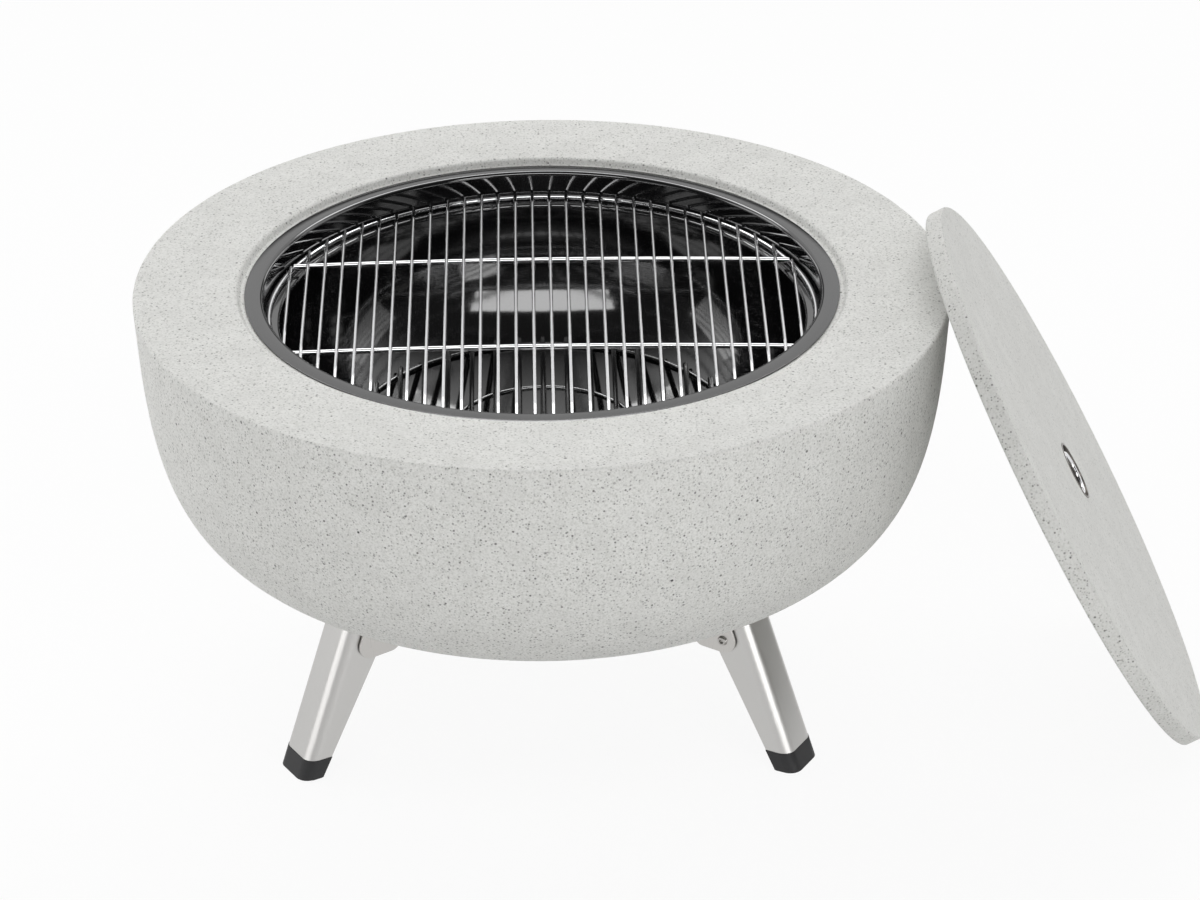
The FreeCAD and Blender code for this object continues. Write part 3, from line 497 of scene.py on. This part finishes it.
def enamel(name, colour, roughness, coats):
    """Fired enamel: glassy, with the slight orange peel of a sprayed coat. It mirrors more than plain glass
    does, and a second coat mirrors more again."""
    material, tree, shader = new_material(name)
    place = add_node(tree, "ShaderNodeTexCoord")
    peel = add_node(tree, "ShaderNodeTexNoise", {"Vector": place.outputs["Object"],
                                                 "Scale": 1 / (PEEL_MM * MM), "Detail": 2.0})
    bump = add_node(tree, "ShaderNodeBump", {"Height": peel.outputs[0], "Strength": PEEL_STRENGTH,
                                             "Distance": PEEL_DEPTH_MM * MM})
    tree.links.new(bump.outputs[0], shader.inputs["Normal"])
    shader.inputs["Base Color"].default_value = linear(colour)
    shader.inputs["Roughness"].default_value = roughness
    shader.inputs["IOR"].default_value = ENAMEL_IOR
    shader.inputs["Coat Weight"].default_value = coats - 1
    shader.inputs["Coat Roughness"].default_value = roughness
    shader.inputs["Coat IOR"].default_value = ENAMEL_IOR
    return material


black_enamel = enamel("black_glass_enamel", colour="#0E0E0F", roughness=0.08, coats=1)
make_piece(fire_shape, "fire_dish", black_enamel, "black_enamel", "fire_bowl", "fire_bowl")


# Charcoal grate. Two rings of black enamelled wire with straight rods welded across them. Its outer
# ring rests on the round side of the dish.
CHARCOAL_RADIUS = 179.0
CHARCOAL_INNER_RADIUS = 86.0
CHARCOAL_WIRE = 5.0
CHARCOAL_RODS = 15
CHARCOAL_PITCH = 22.6
CHARCOAL_STUB = 3.0
CHARCOAL_RING_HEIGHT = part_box("charcoal_ring")[0].z / MM + CHARCOAL_WIRE / 2
CHARCOAL_ROD_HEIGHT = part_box("charcoal_rods")[0].z / MM + CHARCOAL_WIRE / 2
RING_STEPS = 160
RING_SIDES = 16
ROD_SIDES = 14


def wire_ring(radius, wire, height):
    """A ring of round wire about the bowl's axis, in millimetres."""
    shape = bmesh.new()
    centre = BOWL_AXIS + Vector((radius, 0, height)) * MM
    bmesh.ops.create_circle(shape, segments=RING_SIDES, radius=wire / 2 * MM,
                            matrix=Matrix.Translation(centre) @ Matrix.Rotation(math.pi / 2, 4, "X"))
    spin_round(shape, BOWL_AXIS, RING_STEPS)
    return shape


def add_rod(shape, start, end, wire):
    """Adds a straight round rod between two places in metres."""
    along = end - start
    place = Matrix.Translation((start + end) / 2) @ along.to_track_quat("Z", "Y").to_matrix().to_4x4()
    made = bmesh.ops.create_cone(shape, cap_ends=True, segments=ROD_SIDES, radius1=wire / 2 * MM,
                                 radius2=wire / 2 * MM, depth=along.length, matrix=place)
    return made["verts"]


wire_enamel = enamel("black_enamelled_wire", colour="#101011", roughness=0.16, coats=2)
for radius, node in ((CHARCOAL_RADIUS, "charcoal_ring"), (CHARCOAL_INNER_RADIUS, "charcoal_inner_ring")):
    make_piece(wire_ring(radius, CHARCOAL_WIRE, CHARCOAL_RING_HEIGHT), "black_" + node, wire_enamel,
               "black_wire", "charcoal_grate", node)
charcoal_shape = bmesh.new()
for index in range(CHARCOAL_RODS):
    across = (index - (CHARCOAL_RODS - 1) / 2) * CHARCOAL_PITCH
    half = math.sqrt((CHARCOAL_RADIUS + CHARCOAL_STUB) ** 2 - across ** 2)
    middle = BOWL_AXIS + Vector((across, 0, CHARCOAL_ROD_HEIGHT)) * MM
    reach = Vector((0, half, 0)) * MM
    add_rod(charcoal_shape, middle - reach, middle + reach, CHARCOAL_WIRE)
make_piece(charcoal_shape, "black_charcoal_rods", wire_enamel, "black_wire", "charcoal_grate",
           "charcoal_rods")


# Cooking grate. Chromed steel wire: two bowed cross rods on a thicker ring, and thin rods welded over them,
# with their ends cranked down to the ring. It lies loose on the step of the fire bowl.
GRATE_RADIUS = 251.5
GRATE_RING_WIRE = 5.0
GRATE_ROD_WIRE = 3.2
GRATE_RODS = 30
GRATE_PITCH = 16.2
GRATE_STUB = 1.5
GRATE_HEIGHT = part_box("grate_ring")[0].z / MM + GRATE_RING_WIRE / 2
WELD = 0.4
CRANK_RUN = 36.0
CRANK_SOFT = 4.0
CROSS_ROD_OFFSET = 92.0
CROSS_ROD_INSET = 2.0
CROSS_ROD_RISE = 3.8
CROSS_ROD_BOW = 3.5
CROSS_ROD_CUTS = 24
CROSS_ROD_HALF = math.sqrt(GRATE_RADIUS ** 2 - CROSS_ROD_OFFSET ** 2) - CROSS_ROD_INSET
CUT_GAP = 0.001


def bend_rod(shape, rod, start, end, cuts, fall):
    """Cuts a straight rod across at shares of its length, and lets it fall by fall(share) millimetres."""
    along = end - start
    edges = dict.fromkeys(edge for vert in rod for edge in vert.link_edges)
    faces = dict.fromkeys(face for vert in rod for face in vert.link_faces)
    parts = list(rod) + list(edges) + list(faces)
    for share in cuts:
        parts = bmesh.ops.bisect_plane(shape, geom=parts, plane_co=start + along * share, plane_no=along,
                                       dist=CUT_GAP * MM)["geom"]
    for part in parts:
        if isinstance(part, bmesh.types.BMVert):
            share = (part.co - start).dot(along) / along.length_squared
            part.co.z -= fall(share) * MM


def bow_fall(share):
    """How far a bowed cross rod has fallen at a share of its length."""
    return CROSS_ROD_BOW * (2 * share - 1) ** 2


def crank_fall(past, slope):
    """How far a rod has fallen at a place past its bend, with the bend rounded."""
    if past < -CRANK_SOFT:
        return 0
    if past < CRANK_SOFT:
        return slope * (past + CRANK_SOFT) ** 2 / (4 * CRANK_SOFT)
    return slope * past


DRAW_MARK_MM = 3.0
HAZE_LESS = 0.04
HAZE_MORE = 0.06


def chrome(name, colour, roughness):
    """Chrome plate: bright, with faint draw marks of the wire or the press under it."""
    material, tree, shader = new_material(name)
    place = add_node(tree, "ShaderNodeTexCoord")
    marks = add_node(tree, "ShaderNodeTexNoise", {"Vector": place.outputs["Object"],
                                                  "Scale": 1 / (DRAW_MARK_MM * MM), "Detail": 3.0})
    haze = add_node(tree, "ShaderNodeMapRange", {"Value": marks.outputs[0], "From Min": NOISE_LOW,
                                                 "From Max": NOISE_HIGH, "To Min": roughness - HAZE_LESS,
                                                 "To Max": roughness + HAZE_MORE})
    tree.links.new(haze.outputs[0], shader.inputs["Roughness"])
    shader.inputs["Base Color"].default_value = linear(colour)
    shader.inputs["Metallic"].default_value = 1.0
    return material


wire_chrome = chrome("chromed_wire", colour="#E4E4E5", roughness=0.08)
make_piece(wire_ring(GRATE_RADIUS, GRATE_RING_WIRE, GRATE_HEIGHT), "grate_hoop", wire_chrome, "chrome_wire",
           "cooking_grate", "grate_ring")
cross_shape = bmesh.new()
cross_cuts = [step / CROSS_ROD_CUTS for step in range(1, CROSS_ROD_CUTS)]
for offset in (-CROSS_ROD_OFFSET, CROSS_ROD_OFFSET):
    middle = BOWL_AXIS + Vector((0, offset, GRATE_HEIGHT + CROSS_ROD_RISE + CROSS_ROD_BOW)) * MM
    reach = Vector((CROSS_ROD_HALF, 0, 0)) * MM
    cross_rod = add_rod(cross_shape, middle - reach, middle + reach, GRATE_RING_WIRE)
    bend_rod(cross_shape, cross_rod, middle - reach, middle + reach, cross_cuts, bow_fall)
make_piece(cross_shape, "grate_cross_bars", wire_chrome, "chrome_wire", "cooking_grate", "grate_cross_rods")
bar_shape = bmesh.new()
bar_rise = (GRATE_RING_WIRE + GRATE_ROD_WIRE) / 2 - WELD
for index in range(GRATE_RODS):
    across = (index - (GRATE_RODS - 1) / 2) * GRATE_PITCH
    drop = CROSS_ROD_RISE + CROSS_ROD_BOW * (1 - (across / CROSS_ROD_HALF) ** 2)
    crossing = math.sqrt(GRATE_RADIUS ** 2 - across ** 2)
    half = crossing + GRATE_STUB
    bend = crossing - CRANK_RUN
    middle = BOWL_AXIS + Vector((across, 0, GRATE_HEIGHT + bar_rise + drop)) * MM
    reach = Vector((0, half, 0)) * MM
    bar = add_rod(bar_shape, middle - reach, middle + reach, GRATE_ROD_WIRE)
    places = [end * (bend + soft) for end in (-1, 1) for soft in (-CRANK_SOFT, 0, CRANK_SOFT)]
    bar_cuts = [0.5 + place / half / 2 for place in places]
    bend_rod(bar_shape, bar, middle - reach, middle + reach, bar_cuts,
             lambda share: crank_fall(abs(2 * share - 1) * half - bend, drop / CRANK_RUN))
make_piece(bar_shape, "grate_bars", wire_chrome, "chrome_wire", "cooking_grate", "grate_rods")


# Lid. A round slab of the same terrazzo, its paste painted a shade darker as painted shade, which closes
# the rim and here leans on it from the floor. A pocket in its middle takes the pull.
LID_LEAN = math.radians(61.9)
LID_RADIUS = 274.0
LID_THICKNESS = 17.0
LID_EDGE = 2.5
POCKET_RADIUS = 27.6
POCKET_DEPTH = 9.3
# Painted shade: the lid's paste is darker than the bowl's, to hold down the light on its face.
LID_PASTE_PAINTED_SHADE = "#CDCDCA"
LID_GROUND_FADE = 0.4
lid_low, lid_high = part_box("lid_slab")
LID_FACING = Vector((math.sin(LID_LEAN), 0, math.cos(LID_LEAN)))
LID_PLACE = (Matrix.Translation((lid_low + lid_high) / 2 + LID_FACING * LID_THICKNESS / 2 * MM)
             @ Matrix.Rotation(LID_LEAN, 4, "Y"))
lid_shape = lathe([
    (0, -LID_THICKNESS, 0),
    (LID_RADIUS, -LID_THICKNESS, LID_EDGE),
    (LID_RADIUS, 0, LID_EDGE),
    (POCKET_RADIUS, 0, 0),
    (POCKET_RADIUS, -POCKET_DEPTH, 0),
    (0, -POCKET_DEPTH, 0),
], Vector())
bmesh.ops.transform(lid_shape, matrix=LID_PLACE, verts=lid_shape.verts)
lid_stone = terrazzo("cast_terrazzo_lid", LID_PASTE_PAINTED_SHADE, LID_FACING, LID_GROUND_FADE)
make_piece(lid_shape, "lid_disc", lid_stone, "stone", "lid", "lid_slab")


# Pull. A pressed cup of dull nickelled steel, its colour darkened as painted shade for its shadowed inside,
# sunk in the lid and held by one screw in a brass insert, with a bright chromed ring that turns up on a pin
# between two lugs.
# Painted shade: the cup's nickel is darker than bright nickel, for the shade inside the cup.
cup_nickel_painted_shade = chrome("dark_nickel_cup_painted_shade", colour="#77736E", roughness=0.3)
ring_chrome = chrome("chromed_pull_ring", colour="#DADADB", roughness=0.12)
make_piece(cad_copy("pull_cup"), "cup_pressing", cup_nickel_painted_shade, "chrome_pull", "lid", "pull_cup")
make_piece(cad_copy("pull_ring"), "ring_loop", ring_chrome, "chrome_pull", "pull_ring", "pull_ring")
finish_node("pull_pin", screw_steel)
finish_node("cup_screw", screw_steel)
finish_node("lid_insert", turned_brass)


# Floor. White studio paper, which the camera, metal and glass see nearly white, with enough of its own shade
# left for the shadow.
FLOOR_HALF = 40.0
PAPER = "#E8E8E8"
PAPER_ROUGHNESS = 0.9
PAPER_GLOSS = 0.1
WHITE_SHARE = 0.92
WHITE = (1, 1, 1, 1)
floor_shape = bmesh.new()
bmesh.ops.create_grid(floor_shape, x_segments=1, y_segments=1, size=FLOOR_HALF)
floor_mesh = bpy.data.meshes.new("floor")
floor_shape.to_mesh(floor_mesh)
floor_shape.free()
floor_material, floor_tree, floor_shader = new_material("white_paper_floor")
floor_shader.inputs["Base Color"].default_value = linear(PAPER)
floor_shader.inputs["Roughness"].default_value = PAPER_ROUGHNESS
floor_shader.inputs["Specular IOR Level"].default_value = PAPER_GLOSS
ray = add_node(floor_tree, "ShaderNodeLightPath")
seen_or_mirrored = add_node(floor_tree, "ShaderNodeMath", {0: ray.outputs["Is Camera Ray"],
                                                           1: ray.outputs["Is Glossy Ray"]}, operation="ADD")
looked_at = add_node(floor_tree, "ShaderNodeMath", {0: seen_or_mirrored.outputs[0],
                                                    1: ray.outputs["Is Transmission Ray"]},
                     operation="ADD", use_clamp=True)
white_share = add_node(floor_tree, "ShaderNodeMath", {0: looked_at.outputs[0], 1: WHITE_SHARE},
                       operation="MULTIPLY")
white = add_node(floor_tree, "ShaderNodeEmission", {"Color": WHITE, "Strength": 1.0})
floor_mix = add_node(floor_tree, "ShaderNodeMixShader", {0: white_share.outputs[0],
                                                         1: floor_shader.outputs[0], 2: white.outputs[0]})
floor_tree.links.new(floor_mix.outputs[0], floor_tree.nodes["Material Output"].inputs["Surface"])
floor_mesh.materials.append(floor_material)
floor = bpy.data.objects.new("floor", floor_mesh)
bpy.context.collection.objects.link(floor)


# Backdrop. A white sheet that wraps round behind the bowl, with a dark gap between its foot and its canopy,
# and a dim room in front. Heights are those of a way of length 1: 0 is level and 1 is straight up.
BACKDROP_LIGHT = 1.0
ROOM_LIGHT = 0.05
GAP_SHARE = 0.15
HORIZON_LIGHT = 0.15
BACKDROP_FROM = -0.12
BACKDROP_FULL = 0.5
LEVEL_TOP = 0.06
FOOT_END = 0.12
HORIZON_END = 0.16
CANOPY_FROM = 0.32
CANOPY_FULL = 0.39
world = bpy.data.worlds.new("studio")
bpy.context.scene.world = world
world.use_nodes = True
sky = world.node_tree
sky_way = add_node(sky, "ShaderNodeTexCoord")
sky_part = add_node(sky, "ShaderNodeSeparateXYZ", {0: sky_way.outputs["Generated"]})
backdrop = add_node(sky, "ShaderNodeMapRange", {"Value": sky_part.outputs["Y"], "From Min": BACKDROP_FROM,
                                                "From Max": BACKDROP_FULL, "To Min": ROOM_LIGHT,
                                                "To Max": BACKDROP_LIGHT}, interpolation_type="SMOOTHSTEP")
horizon = add_node(sky, "ShaderNodeMapRange", {"Value": sky_part.outputs["Z"], "From Min": LEVEL_TOP,
                                               "From Max": HORIZON_END, "To Min": HORIZON_LIGHT,
                                               "To Max": 0.0}, interpolation_type="SMOOTHSTEP")
canopy = add_node(sky, "ShaderNodeMapRange", {"Value": sky_part.outputs["Z"], "From Min": CANOPY_FROM,
                                              "From Max": CANOPY_FULL, "To Min": GAP_SHARE, "To Max": 1.0},
                  interpolation_type="SMOOTHSTEP")
foot = add_node(sky, "ShaderNodeMapRange", {"Value": sky_part.outputs["Z"], "From Min": LEVEL_TOP,
                                            "From Max": FOOT_END, "To Min": 1.0, "To Max": 0.0},
                interpolation_type="SMOOTHSTEP")
white_part = add_node(sky, "ShaderNodeMath", {0: canopy.outputs[0], 1: foot.outputs[0]}, operation="MAXIMUM")
lit_backdrop = add_node(sky, "ShaderNodeMath", {0: backdrop.outputs[0], 1: white_part.outputs[0]},
                        operation="MULTIPLY")
sky_light = add_node(sky, "ShaderNodeMath", {0: lit_backdrop.outputs[0], 1: horizon.outputs[0]},
                     operation="MAXIMUM")
sky.nodes["Background"].inputs["Color"].default_value = WHITE
sky.links.new(sky_light.outputs[0], sky.nodes["Background"].inputs["Strength"])


# Lamps. A wide softbox hangs over the front and another over the back, panels stand round the bowl, and low
# strips light the legs and the belly. Places and sizes are in metres.
BOWL_MIDDLE = (0, 0, 0.27)
LEG_MIDDLE = (0, 0, 0.15)


def softbox(name, place, aim, width, height, radiance):
    """A rectangular softbox that looks from place to aim, both measured from the foot of the bowl's axis."""
    light = bpy.data.lights.new(name, "AREA")
    light.shape = "RECTANGLE"
    light.size = width
    light.size_y = height
    light.energy = radiance * width * height * math.pi
    lamp = bpy.data.objects.new(name, light)
    lamp.location = BOWL_AXIS + Vector(place)
    lamp.rotation_euler = (Vector(aim) - Vector(place)).to_track_quat("-Z", "Y").to_euler()
    bpy.context.collection.objects.link(lamp)


softbox("overhead_softbox", (0, -1.8, 2.415), BOWL_MIDDLE, width=3.0, height=0.8, radiance=4.3)
softbox("high_back_panel", (0, 1.8, 2.55), BOWL_MIDDLE, width=3.0, height=0.8, radiance=4.4)
softbox("back_left_panel", (-1.9, 2.3, 0.8), BOWL_MIDDLE, width=1.4, height=1.0, radiance=1.5)
softbox("back_right_panel", (1.9, 2.3, 0.8), BOWL_MIDDLE, width=1.4, height=1.0, radiance=1.5)
softbox("left_panel", (-2.55, 0.5, 1.05), BOWL_MIDDLE, width=1.6, height=1.5, radiance=1.8)
softbox("right_panel", (2.55, 0.5, 1.05), BOWL_MIDDLE, width=1.6, height=1.5, radiance=1.0)
softbox("front_left_panel", (-1.95, -1.6, 0.97), BOWL_MIDDLE, width=1.3, height=0.9, radiance=0.5)
softbox("front_right_softbox", (1.25, -2.15, 1.15), BOWL_MIDDLE, width=0.8, height=0.75, radiance=2.6)
softbox("low_front_strip", (0, -2.6, 0.21), LEG_MIDDLE, width=3.0, height=0.38, radiance=0.6)
softbox("low_left_strip", (-2.25, -1.2, 0.21), LEG_MIDDLE, width=2.4, height=0.38, radiance=3.3)
softbox("low_right_strip", (1.75, -2.0, 0.21), LEG_MIDDLE, width=2.0, height=0.42, radiance=4.8)


# Camera, at the height, distance and long lens of the photograph. Its place is measured from the foot of
# the bowl's axis, in metres, and its tilt is in degrees.
CAMERA_PLACE = BOWL_AXIS + Vector((-0.0063, -3.9444, 2.3058))
CAMERA_TILT = (62.613, 0.412, -1.058)
LENS = 142.6
SENSOR_WIDTH = 36.0
camera_data = bpy.data.cameras.new("camera")
camera_data.lens = LENS
camera_data.sensor_width = SENSOR_WIDTH
camera_data.sensor_fit = "HORIZONTAL"
camera = bpy.data.objects.new("camera", camera_data)
camera.location = CAMERA_PLACE
camera.rotation_euler = [math.radians(angle) for angle in CAMERA_TILT]
bpy.context.collection.objects.link(camera)
bpy.context.scene.camera = camera
bpy.context.scene.view_settings.view_transform = "Standard"
